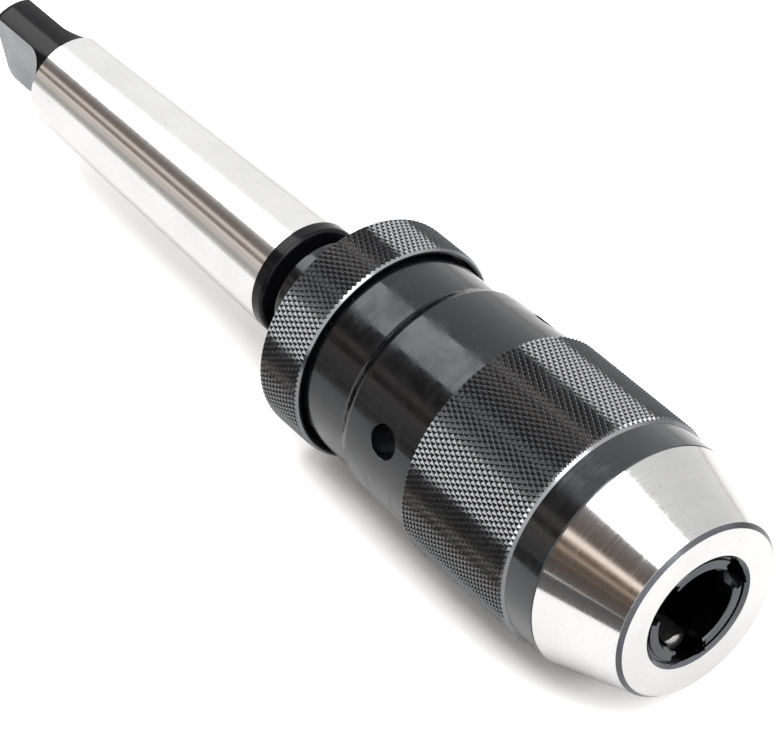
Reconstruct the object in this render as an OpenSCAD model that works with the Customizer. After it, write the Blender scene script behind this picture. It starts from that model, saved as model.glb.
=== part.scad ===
// Keyless precision drill chuck, 1 to 16 mm, on a Morse taper arbor with a tang.
// The axis is X and the nose points along +X. The origin is on the axis, in the
// gauge plane of the Morse taper. At rest the three jaws are fully open.

/* [Morse taper shank] */
// Radius of the ground taper at its big end
taper_r = 12.05; // [11.8:0.05:12.2]
// Distance from the gauge plane to the big end
gauge_to_big_end = 5; // [4:0.5:6]
// Length of the ground taper
taper_len = 78.7; // [76:0.1:80]
// Diameter taper, as length for one unit of diameter
taper_ratio = 19.922; // [19.8:0.001:20.1]
// Distance from the big end to the end of the tang
shank_len = 99; // [97:0.5:100]
// Thickness of the tang between its two flats
tang_t = 7.9; // [7:0.1:9]
// Radius of the turned part that the tang is milled from
tang_r = 9.25; // [8.8:0.05:9.5]
// Radius of the milled run-out behind each flat
runout_r = 7; // [5:0.5:8]
// Turn of the tang about the axis
tang_turn = 9.6; // [0:0.1:90]
// Length of the black collar at the big end
collar_len = 3; // [2:0.5:4]

/* [Taper seat] */
// Radius of the chuck seat at its big end
seat_r = 7.87; // [7.8:0.01:7.95]
// Length of the chuck seat
seat_len = 24; // [20:1:26]
// Diameter taper of the chuck seat, as length for one unit of diameter
seat_ratio = 20.02; // [19.9:0.01:20.1]

/* [Chuck outside] */
// Distance from the gauge plane to the nose face
nose_x = 119; // [118.5:0.1:119.5]
// Radius over the knurled grip
grip_r = 24.05; // [23.9:0.05:24.3]
// Radius over the knurled holding ring
ring_r = 22.95; // [22.8:0.05:23.2]
// Radius of the smooth neck behind the step
neck_r = 21; // [20.8:0.1:21.2]
// Radius of the black band in front of the grip
band_r = 23.3; // [23.1:0.05:23.6]
// Radius of the cone at the nose face
nose_r = 17.3; // [17:0.1:17.6]
// Radius of the mouth at the nose face
mouth_r = 11.8; // [11.4:0.1:12]
// Radius of the ledge inside the mouth
ledge_r = 8.5; // [8.4:0.05:8.6]
// Radius of each spanner hole in the sleeve
spanner_r = 3.25; // [2.8:0.05:3.4]
// Turn of the spanner holes about the axis
spanner_turn = 41; // [0:1:119]

/* [Jaws] */
// Largest radius that the open jaws leave free
jaw_open_r = 8; // [7.9:0.05:8.1]
// Slope of the jaws to the axis
jaw_slope = 20; // [19.8:0.1:20.2]
// Forward travel of the drive screw from open to closed
screw_travel = 20.6; // [18:0.1:20.6]
// Turn of the jaws about the axis
jaw_turn = 22.5; // [0:0.5:119]
// Width of a jaw
jaw_w = 6.2; // [5.8:0.1:6.4]
// Width of a jaw over its guide ribs
rib_w = 8; // [7.4:0.1:8.2]

/* [Thrust bearing] */
// Number of balls
balls = 18; // [12:1:18]
// Radius of one ball
ball_r = 2; // [1.9:0.05:2]
// Radius of the circle of ball centres
ball_circle_r = 15.7; // [15.6:0.05:15.8]

/* [Hidden] */
BALL_NAMES = [for (i = [1:balls]) str("thrust_ball_", i)];

$fn = 96;
eps = 0.01;

// Running clearance on a radius, and the looser gap between plain faces
run_gap = 0.05;
free_gap = 0.3;

// Stations along the axis, from the tang to the nose
big_end_x = gauge_to_big_end;
taper_x = big_end_x - taper_len;
tang_x = big_end_x - shank_len;
collar_x = big_end_x + collar_len;
hub_x = collar_x + 2;
ring_x = 22.1;
ring_web_x = 28;
neck_x = ring_web_x + 1;
ring_front_x = 33.6;
shoulder_x = 46.5;
ball_x = 50.1;
race_t = 2;
flange_x = ball_x + 1.6 + race_t;
flange_front_x = 60;
barrel_x = 80.6;
guide_rear_x = 84;
cone_x = 102;

// Radii inside the chuck
hub_r = 10.8;
journal_r = 13;
flange_r = 17.9;
pocket_r = 18.2;
inner_r = 19.5;
guide_r = 20.95;
barrel_r = 14.5;
screw_r = 8.5;
head_r = 12.3;

// Jaw geometry in the plane through the axis and the middle of a jaw
tip_x = nose_x - 3.7;
tip_back_r = 12;
jaw_rear_x = tip_x - 30.6;
jaw_top_r = 20.4;
tee_t = 4.2;
lip_t = 3;
head_front_x = jaw_rear_x + tee_t + lip_t;
head_rear_x = head_front_x - 11;
// Ribs start a little under the jaw's back
rib_drop = 0.2;
rib_t = 2.2 / cos(jaw_slope);
neck_w = 3.4;
// The ridge line where the two bevelled sides of a jaw would meet
ridge_r = jaw_open_r - 0.4;

function taper_r_at(x) = taper_r - (big_end_x - x) / taper_ratio / 2;
function seat_r_at(x) = seat_r - (x - hub_x) / seat_ratio / 2;
function jaw_back(x) = tip_back_r + (tip_x - x) * tan(jaw_slope);
// Points on an arc of an outline, as [radius, station]
function arc(c, r, from, to, steps = 5) =
    [for (i = [0:steps]) let (a = from + (to - from) * i / steps) [c[0] + r * cos(a), c[1] + r * sin(a)]];

// A turned solid from an outline of [radius, station] points
module turned(outline) {
    rotate([0, 90, 0])
        rotate_extrude()
            polygon(outline);
}

// A cylinder along the axis
module bar(r, from, to) {
    translate([from, 0, 0])
        rotate([0, 90, 0])
            cylinder(r = r, h = to - from);
}

// A plate of width w from a side outline of [station, radius] points
module plate(w, outline) {
    translate([0, 0, -w / 2])
        linear_extrude(height = w)
            polygon(outline);
}

// One flat of the tang with its round run-out, on the +Y side
module tang_cut() {
    centre_x = taper_x + 0.3 - runout_r;
    translate([tang_x - 1, tang_t / 2, -15])
        cube([centre_x - tang_x + 1, 15, 30]);
    translate([centre_x, tang_t / 2 + runout_r, -15])
        cylinder(r = runout_r, h = 30);
}

// Morse taper shank with its tang and the short taper that carries the chuck
module arbor() {
    corner = 2;
    end_x = hub_x + seat_len - 1;
    color([0.78, 0.78, 0.79])
        difference() {
            turned(concat(
                [[0, tang_x]],
                arc([tang_r - corner, tang_x + corner], corner, -90, 0),
                [[tang_r, taper_x - 1], [tang_r + 0.3, taper_x - 0.4], [taper_r_at(taper_x), taper_x]],
                [[taper_r, big_end_x]],
                arc([taper_r - 0.9, collar_x - 0.9], 0.9, 0, 90),
                [[seat_r_at(collar_x), collar_x], [seat_r_at(end_x - 1), end_x - 1]],
                [[seat_r_at(end_x) - 0.8, end_x], [0, end_x]]
            ));
            rotate([tang_turn, 0, 0])
                tang_cut();
            rotate([tang_turn + 180, 0, 0])
                tang_cut();
            centre_hole(tang_x, 1);
            centre_hole(end_x, -1);
        }
}

// A 60 degree centre hole that opens at station x and runs in along side
module centre_hole(x, side) {
    mouth = 2.4;
    drill = 1;
    cone_len = (mouth - drill) / tan(30);
    translate([x, 0, 0])
        rotate([0, 90 * side, 0]) {
            translate([0, 0, -eps])
                cylinder(r1 = mouth, r2 = drill, h = cone_len);
            cylinder(r = drill, h = cone_len + 3);
        }
}

// Body that the arbor is pressed in, with the thrust flange and the threaded barrel
module chuck_body() {
    corner = 0.8;
    relief_r = 9.3;
    color([0.12, 0.12, 0.13])
        difference() {
            turned(concat(
                [[seat_r_at(hub_x) + 0.4, hub_x]],
                arc([hub_r - corner, hub_x + corner], corner, -90, 0),
                [[hub_r, ring_x + 0.3], [journal_r - 0.4, ring_x + 0.3], [journal_r, ring_x + 0.7]],
                [[journal_r, flange_x], [flange_r - 0.3, flange_x], [flange_r, flange_x + 0.3]],
                [[flange_r, flange_front_x - 0.5], [flange_r - 0.5, flange_front_x]],
                [[barrel_r, flange_front_x], [barrel_r, barrel_x - 0.6], [barrel_r - 0.6, barrel_x]],
                [[screw_r + 0.6, barrel_x], [screw_r + run_gap, barrel_x - 0.6]],
                [[screw_r + run_gap, flange_front_x], [relief_r, flange_front_x - 0.8]],
                [[relief_r, hub_x + seat_len + 1], [seat_r_at(hub_x + seat_len), hub_x + seat_len]],
                [[seat_r_at(hub_x + 0.4), hub_x + 0.4]]
            ));
            lock_screw_holes();
        }
}

// The two lock screws sit half in the body and half in the holding ring
lock_screw_r = 1.5;
lock_screw_len = 5;
module each_lock_screw() {
    for (a = [0, 180])
        rotate([a + tang_turn, 0, 0])
            translate([ring_x, journal_r, 0])
                rotate([0, 90, 0])
                    children();
}

module lock_screw_holes() {
    each_lock_screw()
        translate([0, 0, -1])
            cylinder(r = lock_screw_r, h = lock_screw_len + 1.4);
}

// Grub screws with hexagon sockets that stop the ring from turning on the body
module ring_lock_screws() {
    color([0.2, 0.2, 0.21])
        each_lock_screw()
            difference() {
                translate([0, 0, 0.4])
                    cylinder(r = lock_screw_r, h = lock_screw_len);
                cylinder(r = 0.87, h = 2.2, $fn = 6);
            }
}

// Knurled ring fixed on the body; its front rim surrounds the neck of the sleeve
module rear_ring() {
    rim_r = neck_r + 0.6;
    color([0.13, 0.13, 0.14])
        difference() {
            turned([
                [journal_r, ring_x + 0.7], [journal_r + 0.4, ring_x], [ring_r - 0.6, ring_x],
                [ring_r, ring_x + 0.6], [ring_r, ring_front_x - 0.7], [ring_r - 0.7, ring_front_x],
                [rim_r + 0.2, ring_front_x], [rim_r, ring_front_x - 0.2],
                [rim_r, ring_web_x], [journal_r, ring_web_x]
            ]);
            lock_screw_holes();
        }
}

// A washer with a ball groove on the face at station face_x; side points to the balls
module race(in_r, out_r, face_x, side) {
    back_x = face_x - side * race_t;
    groove_r = ball_r + 0.06;
    difference() {
        bar(out_r, min(face_x, back_x), max(face_x, back_x));
        bar(in_r, min(face_x, back_x) - 1, max(face_x, back_x) + 1);
        rotate([0, 90, 0])
            translate([0, 0, ball_x])
                rotate_extrude()
                    translate([ball_circle_r, 0])
                        circle(r = groove_r, $fn = 48);
    }
}

// Hardened race on the body's flange
module front_race() {
    color([0.7, 0.7, 0.72])
        race(journal_r, flange_r, flange_x - race_t, -1);
}

// Hardened race on the sleeve's inner shoulder
module rear_race() {
    color([0.7, 0.7, 0.72])
        race(journal_r + free_gap, pocket_r, shoulder_x + race_t, 1);
}

// Ring that spaces the balls
module ball_cage() {
    cage_t = 1.6;
    color([0.72, 0.58, 0.3])
        difference() {
            bar(flange_r - 0.1, ball_x - cage_t / 2, ball_x + cage_t / 2);
            bar(journal_r + 0.5, ball_x - cage_t, ball_x + cage_t);
            for (i = [1:balls])
                rotate([i * 360 / balls, 0, 0])
                    translate([ball_x - cage_t, ball_circle_r, 0])
                        rotate([0, 90, 0])
                            cylinder(r = ball_r + run_gap, h = 2 * cage_t);
        }
}

// Ball number i of the thrust bearing
module thrust_ball(i) {
    color([0.8, 0.8, 0.82])
        rotate([i * 360 / balls, 0, 0])
            translate([ball_x, ball_circle_r, 0])
                sphere(r = ball_r, $fn = 32);
}

// Sleeve that is gripped and turned by hand
module sleeve() {
    step_x = 45.3;
    rim_x = 48.2;
    smooth_r = 22.9;
    smooth_x = 66.3;
    grip_x = 66.8;
    grip_front_x = 93.9;
    rim_corner = 1.1;
    color([0.12, 0.12, 0.13])
        difference() {
            turned(concat(
                [[journal_r + run_gap, neck_x + 0.5], [journal_r + run_gap + 0.5, neck_x]],
                [[neck_r - 0.4, neck_x], [neck_r, neck_x + 0.4], [neck_r, step_x]],
                [[neck_r + 0.2, step_x]],
                arc([neck_r + 1.25 - rim_corner, rim_x - 0.2], rim_corner, -40, 0, 4),
                [[smooth_r, smooth_x], [grip_r, grip_x], [grip_r, grip_front_x]],
                [[band_r, grip_front_x + 0.9], [band_r, cone_x - 0.2], [band_r - 0.2, cone_x]],
                [[guide_r, cone_x], [guide_r, guide_rear_x - 0.2], [inner_r, guide_rear_x - 0.2]],
                [[inner_r, flange_front_x + 3], [pocket_r, flange_front_x + 2]],
                [[pocket_r, shoulder_x], [journal_r + run_gap, shoulder_x]]
            ));
            for (i = [0:2])
                rotate([spanner_turn + i * 120, 0, 0])
                    spanner_hole();
        }
}

// Blind hole for a pin spanner with a bevelled mouth, on the +Y side
module spanner_hole() {
    hole_x = 57.6;
    floor_r = 19.2;
    bevel_from = 3.1;
    bevel = 1.2;
    translate([hole_x, floor_r, 0])
        rotate([-90, 0, 0])
            rotate_extrude()
                polygon([
                    [0, 0], [spanner_r, 0], [spanner_r, bevel_from],
                    [spanner_r + bevel, bevel_from + bevel], [0, bevel_from + bevel]
                ]);
}

// Nose piece with the three sloping guides of the jaws
module jaw_guide() {
    ledge_x = nose_x - 0.62;
    groove_x = nose_x - 1.1;
    groove_r = mouth_r - 0.75;
    step_r = mouth_r - 1.35;
    ledge_back_x = head_front_x + screw_travel + 0.9;
    color([0.82, 0.81, 0.8])
        difference() {
            turned([
                [head_r + run_gap + 0.3, guide_rear_x], [guide_r - 0.5, guide_rear_x],
                [guide_r, guide_rear_x + 0.5], [guide_r, cone_x], [band_r - 0.2, cone_x],
                [band_r - 0.02, cone_x + 0.2], [nose_r + 0.82, nose_x - 0.8], [nose_r, nose_x],
                [mouth_r, nose_x], [groove_r, ledge_x], [groove_r - 0.05, groove_x],
                [step_r + 0.05, groove_x], [step_r, ledge_x - 0.1], [step_r - 0.1, ledge_x],
                [ledge_r + 0.2, ledge_x],
                [ledge_r, ledge_x - 0.2], [ledge_r, ledge_back_x],
                [head_r + run_gap, ledge_back_x], [head_r + run_gap, guide_rear_x + 0.3]
            ]);
            for (i = [0:2])
                rotate([jaw_turn + i * 120, 0, 0])
                    jaw_slot();
        }
}

// Sloping guide for one jaw and its ribs, on the +Y side
module jaw_slot() {
    back_gap = 0.06;
    from_x = guide_rear_x - 1;
    to_x = nose_x + 1;
    inner = ledge_r - 2.5;
    plate(jaw_w + 2 * run_gap, [
        [from_x, jaw_back(from_x) + back_gap], [to_x, jaw_back(to_x) + back_gap],
        [to_x, inner], [from_x, inner]
    ]);
    top_gap = back_gap - rib_drop;
    low_gap = -rib_t - back_gap;
    plate(rib_w + 2 * run_gap, [
        [from_x, jaw_back(from_x) + top_gap], [to_x, jaw_back(to_x) + top_gap],
        [to_x, jaw_back(to_x) + low_gap], [from_x, jaw_back(from_x) + low_gap]
    ]);
}

// Screw that pushes the jaws: threaded stem and a head with three T slots
module drive_screw() {
    stem_x = 45.4;
    pitch = 2.5;
    root_r = screw_r - 1.2;
    thread_end = head_rear_x - 1.6;
    turns = floor((thread_end - stem_x - 1) / pitch);
    color([0.45, 0.45, 0.47])
        difference() {
            union() {
                turned(concat(
                    [[0, stem_x], [root_r, stem_x], [screw_r, stem_x + 1]],
                    [for (i = [0:turns - 1]) each let (x = stem_x + 1 + i * pitch) [
                        [screw_r, x + 0.9], [root_r, x + 1.25], [root_r, x + 2.15], [screw_r, x + pitch]
                    ]],
                    [[screw_r, thread_end - 0.2], [root_r, thread_end]],
                    [[root_r, head_rear_x + 1], [0, head_rear_x + 1]]
                ));
                turned([
                    [0, head_rear_x], [head_r - 0.4, head_rear_x], [head_r, head_rear_x + 0.4],
                    [head_r, head_front_x - 0.4], [head_r - 0.4, head_front_x], [0, head_front_x]
                ]);
            }
            for (i = [0:2])
                rotate([jaw_turn + i * 120, 0, 0])
                    tee_slot();
        }
}

// T slot for the rear end of one jaw, open on the +Y side
module tee_slot() {
    slot_w = jaw_w + 2 * run_gap;
    slot_neck_w = neck_w + 2 * run_gap;
    translate([jaw_rear_x - 0.1, 0, -slot_w / 2])
        cube([tee_t + 0.15, head_r + 1, slot_w]);
    translate([jaw_rear_x, 0, -slot_neck_w / 2])
        cube([tee_t + lip_t + 1, head_r + 1, slot_neck_w]);
}

// One jaw, on the +Y side: bar with a bevelled grip edge, two guide ribs and a T end
module jaw() {
    top_x = tip_x - (jaw_top_r - tip_back_r) / tan(jaw_slope);
    tee_x = jaw_rear_x + tee_t;
    lip_x = tee_x + lip_t + 0.1;
    rib_x = lip_x + 0.4;
    side = [
        [jaw_rear_x, jaw_open_r], [tip_x, jaw_open_r], [tip_x, tip_back_r],
        [top_x, jaw_top_r], [jaw_rear_x, jaw_top_r]
    ];
    color([0.55, 0.55, 0.57])
        intersection() {
            union() {
                difference() {
                    plate(jaw_w, side);
                    for (s = [-1, 1])
                        translate([tee_x, 0, s * jaw_w / 2 + s * neck_w / 2 - jaw_w / 2])
                            cube([lip_x - tee_x, jaw_top_r + 1, jaw_w]);
                }
                plate(rib_w, [
                    [rib_x, jaw_back(rib_x) - rib_t], [rib_x, jaw_back(rib_x) - rib_drop],
                    [tip_x, jaw_back(tip_x) - rib_drop], [tip_x, jaw_back(tip_x) - rib_t]
                ]);
            }
            jaw_wedge();
            jaw_nose();
        }
}

// Sector of 120 degrees that keeps the closed jaws clear of each other
module jaw_wedge() {
    reach = 16;
    translate([jaw_rear_x - 1, ridge_r, 0])
        rotate([90, 0, 90])
            linear_extrude(height = tip_x - jaw_rear_x + 2)
                polygon([[0, 0], [reach, reach * tan(60)], [reach, -reach * tan(60)]]);
}

// Rounded nose that flares towards the rear, about a line along the gripping edge
module jaw_nose() {
    line_r = jaw_open_r + 1.5;
    nose_ball_r = 3.8;
    flare = 35;
    reach = 13;
    flare_r = nose_ball_r * cos(flare);
    flare_x = tip_x - nose_ball_r * (1 - sin(flare));
    rear_x = jaw_rear_x - 1;
    translate([0, line_r, 0])
        turned(concat(
            [[0, rear_x], [reach, rear_x], [reach, flare_x - (reach - flare_r) / tan(flare)]],
            arc([0, tip_x - nose_ball_r], nose_ball_r, flare, 90, 8)
        ));
}

// Jaw number i in its own guide
module placed_jaw(i) {
    rotate([jaw_turn + (i - 1) * 120, 0, 0])
        jaw();
}

arbor();
chuck_body();
rear_ring();
ring_lock_screws();
front_race();
rear_race();
ball_cage();
sleeve();
jaw_guide();
drive_screw();
placed_jaw(1);  // jaw_1
placed_jaw(2);  // jaw_2
placed_jaw(3);  // jaw_3
for (i = [1:balls])
    thrust_ball(i);
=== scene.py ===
"""Looks of the keyless drill chuck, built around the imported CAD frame."""

import math

import bmesh
import bpy
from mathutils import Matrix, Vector


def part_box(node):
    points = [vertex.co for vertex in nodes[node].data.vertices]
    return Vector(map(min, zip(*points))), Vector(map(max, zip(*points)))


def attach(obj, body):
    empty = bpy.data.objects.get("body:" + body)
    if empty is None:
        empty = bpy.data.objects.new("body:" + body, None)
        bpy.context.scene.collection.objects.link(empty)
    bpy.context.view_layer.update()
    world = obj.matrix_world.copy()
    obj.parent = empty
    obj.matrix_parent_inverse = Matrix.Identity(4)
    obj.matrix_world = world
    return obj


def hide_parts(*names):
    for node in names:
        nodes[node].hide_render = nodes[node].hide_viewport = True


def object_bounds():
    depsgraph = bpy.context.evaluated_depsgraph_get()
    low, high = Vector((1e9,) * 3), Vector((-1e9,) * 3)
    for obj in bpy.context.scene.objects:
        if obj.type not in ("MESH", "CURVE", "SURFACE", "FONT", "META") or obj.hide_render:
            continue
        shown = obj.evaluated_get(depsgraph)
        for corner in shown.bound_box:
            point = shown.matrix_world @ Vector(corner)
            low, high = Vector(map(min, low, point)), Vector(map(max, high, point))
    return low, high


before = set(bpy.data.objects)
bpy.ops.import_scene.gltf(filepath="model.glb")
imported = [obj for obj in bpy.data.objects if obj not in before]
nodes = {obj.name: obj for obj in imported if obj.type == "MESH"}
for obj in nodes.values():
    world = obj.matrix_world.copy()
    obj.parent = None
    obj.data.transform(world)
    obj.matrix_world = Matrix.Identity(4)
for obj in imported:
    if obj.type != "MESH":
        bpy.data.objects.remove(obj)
cad_low, cad_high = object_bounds()
MM = 0.001

# Driving dimensions in millimetres, as in the CAD
GRIP_R = min(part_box("sleeve")[1].yz) / MM
RING_R = min(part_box("rear_ring")[1].yz) / MM
GRIP_FROM, GRIP_TO = 66.8, 93.9
BAND_R = 23.3
CONE_FROM, CONE_TO, CONE_END_R = 102.0, 118.2, 18.12
NOSE_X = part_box("jaw_guide")[1].x / MM
NOSE_R, MOUTH_R = 17.3, 11.8
BIG_END_X, TAPER_END_X = 5.0, -73.7
TANG_TURN = 9.6
SPANNER_TURN, SPANNER_X, SPANNER_R, SPANNER_FLOOR = 41, 57.6, 3.25, 19.2

# Diamond knurl: both groove families run at 30 degrees to the axis, 1 mm apart
GROOVE_ANGLE = math.radians(30)
GRIP_STARTS, RING_STARTS = 131, 125
KNURL_DEPTH, KNURL_FLAT = 0.4, 0.07


# ---------------------------------------------------------------- meshes

def new_object(name, verts, faces):
    """An object from points in millimetres, with doubles merged and normals outward."""
    mesh = bpy.data.meshes.new(name)
    mesh.from_pydata([tuple(c * MM for c in v) for v in verts], [], faces)
    bm = bmesh.new()
    bm.from_mesh(mesh)
    bmesh.ops.remove_doubles(bm, verts=bm.verts, dist=1e-8)
    bmesh.ops.recalc_face_normals(bm, faces=bm.faces)
    bm.to_mesh(mesh)
    bm.free()
    obj = bpy.data.objects.new(name, mesh)
    bpy.context.scene.collection.objects.link(obj)
    return obj


def lathe(name, outline, steps):
    """A solid turned about X from a closed outline of (radius, station) points."""
    count = len(outline)
    verts = []
    for k in range(steps):
        a = 2 * math.pi * k / steps
        verts += [(x, r * math.cos(a), r * math.sin(a)) for r, x in outline]
    faces = []
    for k in range(steps):
        here, there = k * count, (k + 1) % steps * count
        for i in range(count):
            j = (i + 1) % count
            if outline[i][0] == 0 and outline[j][0] == 0:
                continue
            ring = [here + i, here + j]
            ring += [there + j] if outline[j][0] else []
            ring += [there + i] if outline[i][0] else []
            faces.append(ring)
    return new_object(name, verts, faces)


def knurl_solid(name, starts, first_x, rows, top, depth, flat, reach, ends):
    """A cylinder with a diamond knurl, which widens to the radius reach beyond the knurl."""
    half = math.pi / starts
    row_len = half * top / math.tan(GROOVE_ANGLE)
    verts, spots = [], {}

    def add(key, col, row, r):
        a = col * half
        spots[key] = len(verts)
        verts.append((first_x + row * row_len, r * math.cos(a), r * math.sin(a)))

    for row in range(rows + 1):
        for col in range(2 * starts):
            if (row + col) % 2 == 0:
                add((col, row), col, row, top - depth)
            elif row in (0, rows):
                add((col, row), col, row, top)
            else:
                for side, dc, dr in (("w", -1, 0), ("e", 1, 0), ("s", 0, -1), ("n", 0, 1)):
                    add((col, row, side), col + dc * flat, row + dr * flat, top)

    def at(col, row, side=None):
        col %= 2 * starts
        return spots.get((col, row, side), spots.get((col, row)))

    faces = []

    def facet(*corners):
        ring = []
        for c in corners:
            if c not in ring:
                ring.append(c)
        faces.append(ring)

    for row in range(rows):
        for col in range(2 * starts):
            if (row + col) % 2 == 0:
                v1, v2 = at(col, row), at(col + 1, row + 1)
                facet(v1, at(col + 1, row, "w"), at(col + 1, row, "n"), v2)
                facet(v1, v2, at(col, row + 1, "e"), at(col, row + 1, "s"))
            else:
                v1, v2 = at(col + 1, row), at(col, row + 1)
                facet(v1, v2, at(col, row, "n"), at(col, row, "e"))
                facet(v1, at(col + 1, row + 1, "s"), at(col + 1, row + 1, "w"), v2)
            if 0 < row and (row + col) % 2:
                faces.append([at(col, row, s) for s in "wsen"])
    for row, x in ((0, ends[0]), (rows, ends[1])):
        base = len(verts)
        wall_x = first_x + row * row_len
        for station in (wall_x, x):
            for col in range(2 * starts):
                a = col * half
                verts.append((station, reach * math.cos(a), reach * math.sin(a)))
        verts.append((x, 0, 0))
        for col in range(2 * starts):
            nxt = (col + 1) % (2 * starts)
            outer = base + 2 * starts
            faces.append([at(col, row), at(nxt, row), base + nxt, base + col])
            faces.append([base + col, base + nxt, outer + nxt, outer + col])
            faces.append([outer + col, outer + nxt, len(verts) - 1])
    return new_object(name, verts, faces)


def combine(obj, other, operation):
    """Boolean of two closed solids; the second one is used up."""
    step = obj.modifiers.new("combine", "BOOLEAN")
    step.operation = operation
    step.solver = "MANIFOLD"
    step.object = other
    graph = bpy.context.evaluated_depsgraph_get()
    mesh = bpy.data.meshes.new_from_object(obj.evaluated_get(graph))
    obj.modifiers.clear()
    old = obj.data
    obj.data = mesh
    bpy.data.meshes.remove(old)
    bpy.data.objects.remove(other)


def turn_about_x(obj, degrees):
    a = math.radians(degrees)
    for v in obj.data.vertices:
        x, y, z = v.co
        v.co = (x, y * math.cos(a) - z * math.sin(a), y * math.sin(a) + z * math.cos(a))


def smooth_by_angle(obj, degrees=28):
    obj.data.polygons.foreach_set("use_smooth", [True] * len(obj.data.polygons))
    obj.data.set_sharp_from_angle(angle=math.radians(degrees))


def arc(centre, radius, start, end, steps):
    """Points of an arc of an outline, as (radius, station)."""
    out = []
    for i in range(steps + 1):
        a = math.radians(start + (end - start) * i / steps)
        out.append((centre[0] + radius * math.cos(a), centre[1] + radius * math.sin(a)))
    return out


def make_sleeve():
    """The sleeve with its knurled grip and its three spanner holes."""
    over = GRIP_R + 0.05
    outline = [(13.1, 29.5), (13.6, 29), (20.6, 29), (21, 29.4), (21, 45.3), (21.2, 45.3)]
    outline += arc((21.15, 48.0), 1.1, -40, 0, 6)
    outline += [(22.25 + 0.65 * (x - 48) / 18.3, x) for x in range(51, 66)]
    outline += [
        (22.9, 66.3), (over, GRIP_FROM), (over, GRIP_TO - 0.04), (BAND_R, GRIP_TO + 0.9),
        (BAND_R, CONE_FROM - 0.2), (BAND_R - 0.2, CONE_FROM), (20.95, CONE_FROM), (20.95, 83.8),
        (19.5, 83.8), (19.5, 63), (18.2, 62), (18.2, 46.5), (13.1, 46.5),
    ]
    sleeve = lathe("sleeve_knurled", outline, 2 * GRIP_STARTS)
    knurl = knurl_solid(
        "knurl", GRIP_STARTS, GRIP_FROM - 1.03, 30, GRIP_R, KNURL_DEPTH, KNURL_FLAT,
        GRIP_R + 1, (27, 104),
    )
    combine(sleeve, knurl, "INTERSECT")
    for i in range(3):
        hole = lathe(
            "hole",
            [(0, 0), (SPANNER_R, 0), (SPANNER_R, 3.1), (SPANNER_R + 1.2, 4.3), (0, 4.3)],
            64,
        )
        for v in hole.data.vertices:
            x, y, z = v.co
            v.co = (SPANNER_X * MM - y, x + SPANNER_FLOOR * MM, z)
        turn_about_x(hole, SPANNER_TURN + 120 * i)
        combine(sleeve, hole, "DIFFERENCE")
    return sleeve


def make_ring():
    """The knurled holding ring with the two half holes of its lock screws."""
    over = RING_R + 0.05
    outline = [
        (13, 22.8), (13.4, 22.1), (22.3, 22.1), (over, 22.74), (over, 32.86), (22.25, 33.6),
        (21.8, 33.6), (21.6, 33.4), (21.6, 28), (13, 28),
    ]
    ring = lathe("ring_knurled", outline, 2 * RING_STARTS)
    knurl = knurl_solid(
        "knurl", RING_STARTS, 21.35, 13, RING_R, KNURL_DEPTH, KNURL_FLAT, RING_R + 1, (20, 36)
    )
    combine(ring, knurl, "INTERSECT")
    for side in (0, 180):
        hole = lathe("hole", [(0, 21), (1.5, 21), (1.5, 27.5), (0, 27.5)], 32)
        for v in hole.data.vertices:
            v.co.y += 13 * MM
        turn_about_x(hole, TANG_TURN + side)
        combine(ring, hole, "DIFFERENCE")
    return ring


# ---------------------------------------------------------------- node helpers

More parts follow.
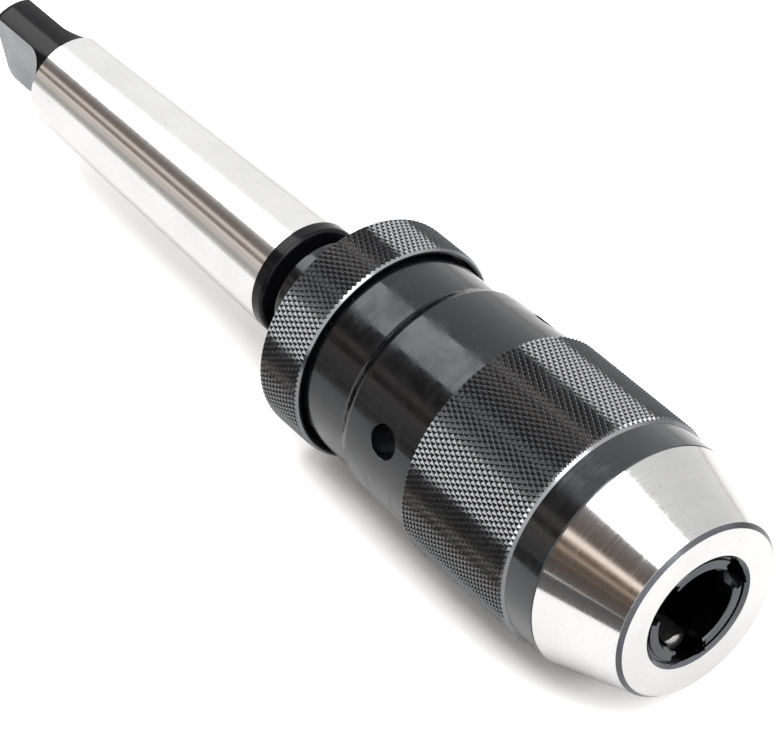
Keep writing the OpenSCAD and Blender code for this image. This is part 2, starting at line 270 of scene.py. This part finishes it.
class Tree:
    """Short calls for the nodes of one material."""

    def __init__(self, material):
        material.use_nodes = True
        self.tree = material.node_tree
        self.tree.nodes.clear()
        self.shader = self.tree.nodes.new("ShaderNodeBsdfPrincipled")
        out = self.tree.nodes.new("ShaderNodeOutputMaterial")
        self.tree.links.new(self.shader.outputs["BSDF"], out.inputs["Surface"])
        coord = self.tree.nodes.new("ShaderNodeTexCoord")
        self.place, self.facing = coord.outputs["Object"], coord.outputs["Normal"]
        split = self.tree.nodes.new("ShaderNodeSeparateXYZ")
        self.tree.links.new(self.place, split.inputs[0])
        self.x = self.math("MULTIPLY", split.outputs["X"], 1000)
        self.y = self.math("MULTIPLY", split.outputs["Y"], 1000)
        self.z = self.math("MULTIPLY", split.outputs["Z"], 1000)
        square = self.math("ADD", self.math("POWER", self.y, 2), self.math("POWER", self.z, 2))
        self.r = self.math("SQRT", self.math("ADD", square, 1e-6))

    def put(self, socket, value):
        if isinstance(value, bpy.types.NodeSocket):
            self.tree.links.new(value, socket)
        else:
            socket.default_value = value

    def math(self, operation, a, b=0.0):
        node = self.tree.nodes.new("ShaderNodeMath")
        node.operation = operation
        self.put(node.inputs[0], a)
        self.put(node.inputs[1], b)
        return node.outputs[0]

    def all_of(self, *masks):
        out = masks[0]
        for m in masks[1:]:
            out = self.math("MULTIPLY", out, m)
        return out

    def any_of(self, *masks):
        out = masks[0]
        for m in masks[1:]:
            out = self.math("MAXIMUM", out, m)
        return out

    def above(self, value, limit):
        return self.math("GREATER_THAN", value, limit)

    def below(self, value, limit):
        return self.math("LESS_THAN", value, limit)

    def ramp(self, value, low, high, to_low=0.0, to_high=1.0):
        node = self.tree.nodes.new("ShaderNodeMapRange")
        self.put(node.inputs["Value"], value)
        for name, v in (("From Min", low), ("From Max", high), ("To Min", to_low), ("To Max", to_high)):
            node.inputs[name].default_value = v
        return node.outputs[0]

    def mix(self, mask, a, b):
        """Colour a where mask is 0 and b where it is 1."""
        node = self.tree.nodes.new("ShaderNodeMix")
        node.data_type = "RGBA"
        self.put(node.inputs["Factor"], mask)
        for socket, value in ((node.inputs[6], a), (node.inputs[7], b)):
            self.put(socket, value if isinstance(value, bpy.types.NodeSocket) else (*value, 1))
        return node.outputs[2]

    def blend(self, mask, a, b):
        """Number a where mask is 0 and b where it is 1."""
        node = self.tree.nodes.new("ShaderNodeMix")
        node.data_type = "FLOAT"
        self.put(node.inputs["Factor"], mask)
        self.put(node.inputs[2], a)
        self.put(node.inputs[3], b)
        return node.outputs[0]

    def noise(self, vector, scale, detail=2.0, roughness=0.5):
        node = self.tree.nodes.new("ShaderNodeTexNoise")
        self.put(node.inputs["Vector"], vector)
        node.inputs["Scale"].default_value = scale
        node.inputs["Detail"].default_value = detail
        node.inputs["Roughness"].default_value = roughness
        return node.outputs[0]

    def vector(self, x, y, z):
        node = self.tree.nodes.new("ShaderNodeCombineXYZ")
        for socket, value in zip(node.inputs, (x, y, z)):
            self.put(socket, value)
        return node.outputs[0]

    def turning_marks(self, per_mm, round_scale, detail=3.0):
        """Noise drawn out round the axis: fine along the outline, long round it."""
        along = self.math("ADD", self.x, self.math("MULTIPLY", self.r, 1.7))
        cos = self.math("DIVIDE", self.y, self.r)
        sin = self.math("DIVIDE", self.z, self.r)
        return self.noise(
            self.vector(
                self.math("MULTIPLY", along, per_mm),
                self.math("MULTIPLY", cos, round_scale),
                self.math("MULTIPLY", sin, round_scale),
            ),
            1.0, detail,
        )

    def bump(self, height, depth_mm, onto=None):
        node = self.tree.nodes.new("ShaderNodeBump")
        node.inputs["Strength"].default_value = 1.0
        node.inputs["Distance"].default_value = depth_mm * MM
        self.put(node.inputs["Height"], height)
        if onto is not None:
            self.put(node.inputs["Normal"], onto)
        return node.outputs[0]

    def set(self, **values):
        names = {
            "color": "Base Color", "metallic": "Metallic", "roughness": "Roughness", "ior": "IOR",
            "tint": "Specular Tint", "normal": "Normal",
        }
        for key, value in values.items():
            if key in ("color", "tint") and not isinstance(value, bpy.types.NodeSocket):
                value = (*value, 1)
            self.put(self.shader.inputs[names[key]], value)


# ---------------------------------------------------------------- materials

BLACK_A, BLACK_B = (0.0008, 0.0009, 0.0012), (0.0022, 0.0024, 0.003)
STEEL_A, STEEL_B = (0.56, 0.556, 0.55), (0.63, 0.626, 0.62)
GREY_A, GREY_B = (0.16, 0.165, 0.18), (0.27, 0.275, 0.29)


def black_oxide(name, ior=1.42, shine=0.07, marks=0.0006, patchy=0.2, grain=0.0):
    """Blackened turned steel with an oily sheen, which is dull in patches."""
    material = bpy.data.materials.new(name)
    t = Tree(material)
    cloud = t.noise(t.place, 90, 3)
    patch = t.noise(t.place, 260, 4, 0.6)
    streak = t.turning_marks(7, 3.0)
    speck = t.ramp(t.noise(t.place, 2600, 2), 0.68, 0.74)
    tone = t.ramp(t.math("ADD", cloud, t.math("MULTIPLY", streak, 0.6)), 0.5, 1.1)
    t.set(
        color=t.mix(speck, t.mix(tone, BLACK_A, BLACK_B), (0.02, 0.02, 0.021)),
        roughness=t.math(
            "ADD",
            t.ramp(t.math("ADD", cloud, streak), 0.7, 1.3, shine - 0.03, shine + 0.05),
            t.ramp(t.math("ADD", patch, t.math("MULTIPLY", streak, 0.5)), 0.66, 0.95, 0, patchy),
        ),
        ior=ior,
        tint=(0.93, 0.96, 1.0),
        normal=t.bump(t.noise(t.place, 3500, 2), grain, onto=t.bump(streak, marks)),
    )
    return material


def part_blackened(name, bright_mask, steel_shine, black_shine, dark, dark_metal, grey_mask=None):
    """Steel that is bright where the mask is 1 and blackened elsewhere, with milled grey zones."""
    material = bpy.data.materials.new(name)
    t = Tree(material)
    bright = bright_mask(t)
    cloud = t.noise(t.place, 80, 3)
    streak = t.turning_marks(10, 2.0)
    pits = t.ramp(t.noise(t.place, 1900, 1), 0.735, 0.76)
    steel = t.mix(t.ramp(t.math("ADD", cloud, streak), 0.7, 1.3), STEEL_A, STEEL_B)
    steel = t.mix(t.math("MULTIPLY", pits, 0.6), steel, (0.25, 0.24, 0.23))
    # The blackened zone is a dark metal where dark_metal is 1, and a dark gloss where it is 0
    black = t.mix(t.ramp(t.math("ADD", cloud, streak), 0.7, 1.3), dark[0], dark[1])
    color = t.mix(bright, black, steel)
    metal = t.any_of(bright, dark_metal)
    steel_rough = t.ramp(streak, 0.3, 0.7, steel_shine - 0.04, steel_shine + 0.06)
    rough = t.blend(bright, black_shine, steel_rough)
    height = t.math("ADD", streak, t.math("MULTIPLY", pits, -0.8))
    normal = t.bump(height, 0.0005)
    if grey_mask:
        grey = grey_mask(t)
        metal = t.any_of(metal, grey)
        stretched = t.vector(
            t.math("MULTIPLY", t.x, 0.5), t.math("MULTIPLY", t.y, 6), t.math("MULTIPLY", t.z, 2)
        )
        brush = t.noise(stretched, 1.0, 3)
        tone = t.mix(t.ramp(t.math("ADD", brush, cloud), 0.8, 1.25), GREY_A, GREY_B)
        color = t.mix(grey, color, tone)
        rough = t.blend(grey, rough, t.ramp(brush, 0.3, 0.7, 0.33, 0.5))
        normal = t.bump(t.math("MULTIPLY", brush, grey), 0.004, onto=normal)
    t.set(color=color, metallic=metal, roughness=rough, normal=normal, ior=1.22)
    return material


def plain_metal(name, low, high, shine, metallic=1.0, per_mm=6.0, marks=0.002):
    """Turned or moulded metal of one tone with some wear, for the pieces inside."""
    material = bpy.data.materials.new(name)
    t = Tree(material)
    cloud = t.noise(t.place, 150, 3)
    streak = t.turning_marks(per_mm, 3.0)
    t.set(
        color=t.mix(t.ramp(t.math("ADD", cloud, streak), 0.7, 1.3), low, high),
        metallic=metallic,
        roughness=t.ramp(cloud, 0.3, 0.7, shine - 0.05, shine + 0.1),
        normal=t.bump(streak, marks),
    )
    return material


def nose_bright(t):
    cone_r = t.ramp(t.x, CONE_FROM + 0.2, CONE_TO, BAND_R - 0.02, CONE_END_R)
    cone = t.all_of(
        t.above(t.x, CONE_FROM - 0.01), t.below(t.x, CONE_TO + 0.02),
        t.above(t.r, t.math("SUBTRACT", cone_r, 0.25)),
    )
    face = t.all_of(
        t.above(t.x, NOSE_X - 0.03), t.above(t.r, MOUTH_R - 0.02), t.below(t.r, NOSE_R + 0.02)
    )
    return t.any_of(cone, face)


def shank_bright(t):
    return t.all_of(t.above(t.x, TAPER_END_X - 0.06), t.below(t.x, BIG_END_X))


def tang_milled(t):
    """The two flats and their run-outs face along the flat direction or the axis."""
    a = math.radians(TANG_TURN + 90)
    node = t.tree.nodes.new("ShaderNodeVectorMath")
    node.operation = "DOT_PRODUCT"
    t.tree.links.new(t.facing, node.inputs[0])
    node.inputs[1].default_value = (0, math.cos(a), math.sin(a))
    sideways = t.math("ABSOLUTE", node.outputs["Value"])
    split = t.tree.nodes.new("ShaderNodeSeparateXYZ")
    t.tree.links.new(t.facing, split.inputs[0])
    endways = t.math("ABSOLUTE", split.outputs["X"])
    return t.all_of(t.below(sideways, 0.03), t.below(endways, 0.97), t.below(t.x, TAPER_END_X + 0.28))


def assign(obj, material):
    """Puts the material in the object's own slots, and leaves its mesh alone."""
    if not obj.material_slots:
        obj.data.materials.append(None)
    for slot in obj.material_slots:
        slot.link = "OBJECT"
        slot.material = material


# ---------------------------------------------------------------- pieces

sleeve = make_sleeve()
ring = make_ring()
oxide = black_oxide("oxide_turned")
oxide_knurl = black_oxide(
    "oxide_knurl", ior=1.85, shine=0.08, marks=0.0002, patchy=0.1, grain=0.012
)
oxide_worn = black_oxide(
    "oxide_worn", ior=2.4, shine=0.12, marks=0.0002, patchy=0.1, grain=0.004
)
oxide_band = black_oxide("oxide_band", ior=1.55, shine=0.08, marks=0.0004, patchy=0.12)
SLOT_KNURL, SLOT_BAND, SLOT_WORN = 1, 2, 3
for piece, from_x, to_x, valley, chamfer_x in (
    (sleeve, GRIP_FROM - 0.05, GRIP_TO + 0.95, GRIP_R - 0.75, GRIP_TO),
    (ring, 22.0, 33.65, RING_R - 0.75, 32.86),
):
    smooth_by_angle(piece)
    piece.data.materials.clear()
    for material in (oxide, oxide_knurl, oxide_band, oxide_worn):
        piece.data.materials.append(material)
    for face in piece.data.polygons:
        x, y, z = face.center / MM
        if from_x < x < to_x and math.hypot(y, z) > valley:
            worn = x > chamfer_x and face.normal.x > 0.3
            face.material_index = SLOT_WORN if worn else SLOT_KNURL
        elif x > GRIP_TO + 0.9:
            face.material_index = SLOT_BAND
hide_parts("sleeve")
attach(sleeve, "sleeve_group")
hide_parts("rear_ring")
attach(ring, "root")

assign(nodes["arbor"], part_blackened(
    "steel_arbor", shank_bright, 0.1, 0.16, ((0.0015, 0.0016, 0.002), (0.004, 0.004, 0.005)), 0.0,
    tang_milled,
))
assign(nodes["jaw_guide"], part_blackened(
    "steel_nose", nose_bright, 0.09, 0.2, ((0.055, 0.058, 0.065), (0.085, 0.089, 0.096)), 1.0
))
assign(nodes["chuck_body"], black_oxide("oxide_body"))
screw_metal = plain_metal("steel_screw", (0.10, 0.10, 0.105), (0.2, 0.2, 0.205), 0.3)
jaw_metal = plain_metal("steel_jaw", (0.26, 0.255, 0.25), (0.4, 0.39, 0.38), 0.26)
bearing_metal = plain_metal("steel_bearing", (0.62, 0.62, 0.63), (0.74, 0.74, 0.75), 0.12)
cage_metal = plain_metal("brass_cage", (0.52, 0.36, 0.12), (0.7, 0.52, 0.22), 0.3)
lock_metal = plain_metal("steel_lock", (0.04, 0.04, 0.042), (0.09, 0.09, 0.094), 0.3)
assign(nodes["drive_screw"], screw_metal)
assign(nodes["ball_cage"], cage_metal)
assign(nodes["ring_lock_screws"], lock_metal)
for name, obj in nodes.items():
    if name.startswith("jaw_") and name != "jaw_guide":
        assign(obj, jaw_metal)
    if name.startswith("thrust_ball") or name.endswith("_race"):
        assign(obj, bearing_metal)


# ---------------------------------------------------------------- stage, light and camera

def make_floor():
    level = min(cad_low.z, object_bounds()[0].z) - 0.00002
    mesh = bpy.data.meshes.new("floor")
    size = 6.0
    mesh.from_pydata(
        [(-size, -size, level), (size, -size, level), (size, size, level), (-size, size, level)],
        [], [(0, 1, 2, 3)],
    )
    floor = bpy.data.objects.new("floor", mesh)
    bpy.context.scene.collection.objects.link(floor)
    material = bpy.data.materials.new("paper")
    t = Tree(material)
    # Over-exposed for the camera, and less bright where the gloss of the object shows it
    path = t.tree.nodes.new("ShaderNodeLightPath")
    paper = t.mix(t.noise(t.place, 40, 3), (0.6, 0.6, 0.6), (0.63, 0.629, 0.627))
    t.set(color=t.mix(path.outputs["Is Camera Ray"], paper, (0.95, 0.95, 0.95)), roughness=0.7)
    mesh.materials.append(material)


def make_painted_reflection():
    """A low glowing sheet beside the object, seen only in its gloss: a painted reflection that casts no
    light or shadow.
    """
    ends = ((-0.65, -0.302), (0.14, -0.111))
    low, high = cad_low.z, 0.007
    mesh = bpy.data.meshes.new("reflection_sheet")
    mesh.from_pydata(
        [(*ends[0], low), (*ends[1], low), (*ends[1], high), (*ends[0], high)], [], [(0, 1, 2, 3)]
    )
    reflection_sheet = bpy.data.objects.new("reflection_sheet", mesh)
    bpy.context.scene.collection.objects.link(reflection_sheet)
    reflection_sheet.visible_camera = reflection_sheet.visible_diffuse = reflection_sheet.visible_shadow = False
    material = bpy.data.materials.new("painted_reflection_card")
    t = Tree(material)
    along = t.ramp(t.x, -160, 60, 1.0, 0.22)
    t.set(color=(0, 0, 0), roughness=1.0)
    # Painted reflection: a warm glow, dimmer towards the nose and towards the top, which only the gloss
    # of the object shows
    t.put(t.shader.inputs["Emission Color"], (1.0, 0.97, 0.93, 1))
    t.put(
        t.shader.inputs["Emission Strength"],
        t.math("MULTIPLY", along, t.ramp(t.z, -24, 6, 1.0, 0.55)),
    )
    t.put(t.shader.inputs["IOR"], 1.0)
    mesh.materials.append(material)


def make_light():
    """Two soft boxes over the object, and a room that is white on one side and dim on the other."""
    for name, from_x, to_x, radiance in (("rear", -1.5, -0.595, 4.2), ("front", -0.36, 1.4, 5.2)):
        box = bpy.data.lights.new("softbox_" + name, "AREA")
        box.shape = "RECTANGLE"
        box.size, box.size_y = to_x - from_x, 0.65
        box.energy = radiance * math.pi * box.size * box.size_y
        lamp = bpy.data.objects.new("softbox_" + name, box)
        lamp.location = ((from_x + to_x) / 2, -0.13, 0.88)
        lamp.visible_camera = False
        bpy.context.scene.collection.objects.link(lamp)

    world = bpy.data.worlds.new("studio")
    bpy.context.scene.world = world
    world.use_nodes = True
    tree = world.node_tree
    tree.nodes.clear()
    coord = tree.nodes.new("ShaderNodeTexCoord")
    split = tree.nodes.new("ShaderNodeSeparateXYZ")
    tree.links.new(coord.outputs["Generated"], split.inputs[0])
    turn = tree.nodes.new("ShaderNodeMath")
    turn.operation = "ARCTAN2"
    tree.links.new(split.outputs["Z"], turn.inputs[0])
    tree.links.new(split.outputs["Y"], turn.inputs[1])
    share = tree.nodes.new("ShaderNodeMath")
    share.operation = "DIVIDE"
    share.inputs[1].default_value = math.pi
    tree.links.new(turn.outputs[0], share.inputs[0])
    # Brightness (red, blue) by the direction round X in degrees, from +Y up over the top to -Y:
    # first as seen by faces that reflect towards the tang, then by those that reflect sideways
    skies = (
        (
            (0, 1.3, 1.3), (40, 1.4, 1.4), (78, 1.4, 1.4), (110, 1.3, 1.3),
            (117, 0.75, 0.73), (121, 0.5, 0.47),
            (126, 0.34, 0.3), (130, 0.26, 0.21), (137, 0.24, 0.18), (140, 0.38, 0.29),
            (143.5, 1.05, 0.85), (146.5, 0.95, 0.75), (150, 0.42, 0.3), (153, 0.28, 0.19),
            (155.5, 0.38, 0.27), (158.5, 1.15, 0.93), (161, 1.0, 0.84), (165, 0.78, 0.66),
            (168, 0.88, 0.76), (172, 0.7, 0.64), (176, 0.56, 0.53), (180, 0.55, 0.54),
        ),
        (
            (0, 0.98, 0.98), (40, 0.95, 0.95), (75, 1.0, 1.0), (110, 1.2, 1.2),
            (117, 0.5, 0.48), (120, 0.3, 0.27),
            (124, 0.24, 0.21), (130, 0.2, 0.16), (138, 0.19, 0.13), (140.5, 0.45, 0.32),
            (143, 1.45, 1.15), (146, 1.4, 1.08), (149, 0.4, 0.26), (152.5, 0.15, 0.08),
            (155, 0.42, 0.26), (157, 0.55, 0.34), (159, 0.2, 0.12), (163, 0.15, 0.09),
            (166, 0.2, 0.13), (168, 0.12, 0.08), (174, 0.14, 0.11), (180, 0.16, 0.13),
        ),
    )
    top = 1.5
    colors = []
    for stops in skies:
        ramp = tree.nodes.new("ShaderNodeValToRGB")
        tree.links.new(share.outputs[0], ramp.inputs[0])
        elements = ramp.color_ramp.elements
        while len(elements) < len(stops):
            elements.new(0.5)
        for e, (angle, red, blue) in zip(elements, stops):
            e.position = angle / 180
            e.color = (red / top, (0.4 * red + 0.6 * blue) / top, blue / top, 1)
        colors.append(ramp.outputs[0])
    side = tree.nodes.new("ShaderNodeMapRange")
    tree.links.new(split.outputs["X"], side.inputs["Value"])
    side.inputs["From Min"].default_value = -0.5
    side.inputs["From Max"].default_value = -0.12
    sky = tree.nodes.new("ShaderNodeMix")
    sky.data_type = "RGBA"
    tree.links.new(side.outputs[0], sky.inputs["Factor"])
    tree.links.new(colors[0], sky.inputs[6])
    tree.links.new(colors[1], sky.inputs[7])
    # The room gets dark beyond the tang end
    ends = tree.nodes.new("ShaderNodeMapRange")
    tree.links.new(split.outputs["X"], ends.inputs["Value"])
    for name, v in (("From Min", -0.95), ("From Max", -0.72), ("To Min", 0.12), ("To Max", 1.0)):
        ends.inputs[name].default_value = v
    fill = tree.nodes.new("ShaderNodeMapRange")
    tree.links.new(split.outputs["X"], fill.inputs["Value"])
    fill.inputs["From Min"].default_value = 0.3
    fill.inputs["From Max"].default_value = 0.5
    bright_end = tree.nodes.new("ShaderNodeMix")
    bright_end.data_type = "RGBA"
    tree.links.new(fill.outputs[0], bright_end.inputs["Factor"])
    tree.links.new(sky.outputs[2], bright_end.inputs[6])
    bright_end.inputs[7].default_value = (1.5, 1.5, 1.5, 1)
    dim = tree.nodes.new("ShaderNodeMath")
    dim.operation = "MULTIPLY"
    dim.inputs[1].default_value = top
    tree.links.new(ends.outputs[0], dim.inputs[0])
    room = tree.nodes.new("ShaderNodeBackground")
    tree.links.new(dim.outputs[0], room.inputs["Strength"])
    tree.links.new(bright_end.outputs[2], room.inputs["Color"])
    backdrop = tree.nodes.new("ShaderNodeBackground")
    backdrop.inputs["Color"].default_value = (1, 1, 1, 1)
    backdrop.inputs["Strength"].default_value = 1.1
    path = tree.nodes.new("ShaderNodeLightPath")
    mix = tree.nodes.new("ShaderNodeMixShader")
    tree.links.new(path.outputs["Is Camera Ray"], mix.inputs[0])
    tree.links.new(room.outputs[0], mix.inputs[1])
    tree.links.new(backdrop.outputs[0], mix.inputs[2])
    out = tree.nodes.new("ShaderNodeOutputWorld")
    tree.links.new(mix.outputs[0], out.inputs["Surface"])


def make_camera():
    azimuth, elevation, distance = math.radians(52.374), math.radians(41.093), 0.67248
    aim = Vector((0.031603, 0, -0.004476))
    back = Vector(
        (
            math.sin(azimuth) * math.cos(elevation),
            -math.cos(azimuth) * math.cos(elevation),
            math.sin(elevation),
        )
    )
    data = bpy.data.cameras.new("camera")
    data.sensor_width = 36
    data.lens = 166.883
    data.clip_start, data.clip_end = 0.01, 50
    camera = bpy.data.objects.new("camera", data)
    camera.location = aim + back * distance
    camera.rotation_euler = (-back).to_track_quat("-Z", "Y").to_euler()
    bpy.context.scene.collection.objects.link(camera)
    bpy.context.scene.camera = camera


make_floor()
make_painted_reflection()
make_light()
make_camera()
bpy.context.scene.view_settings.view_transform = "Standard"
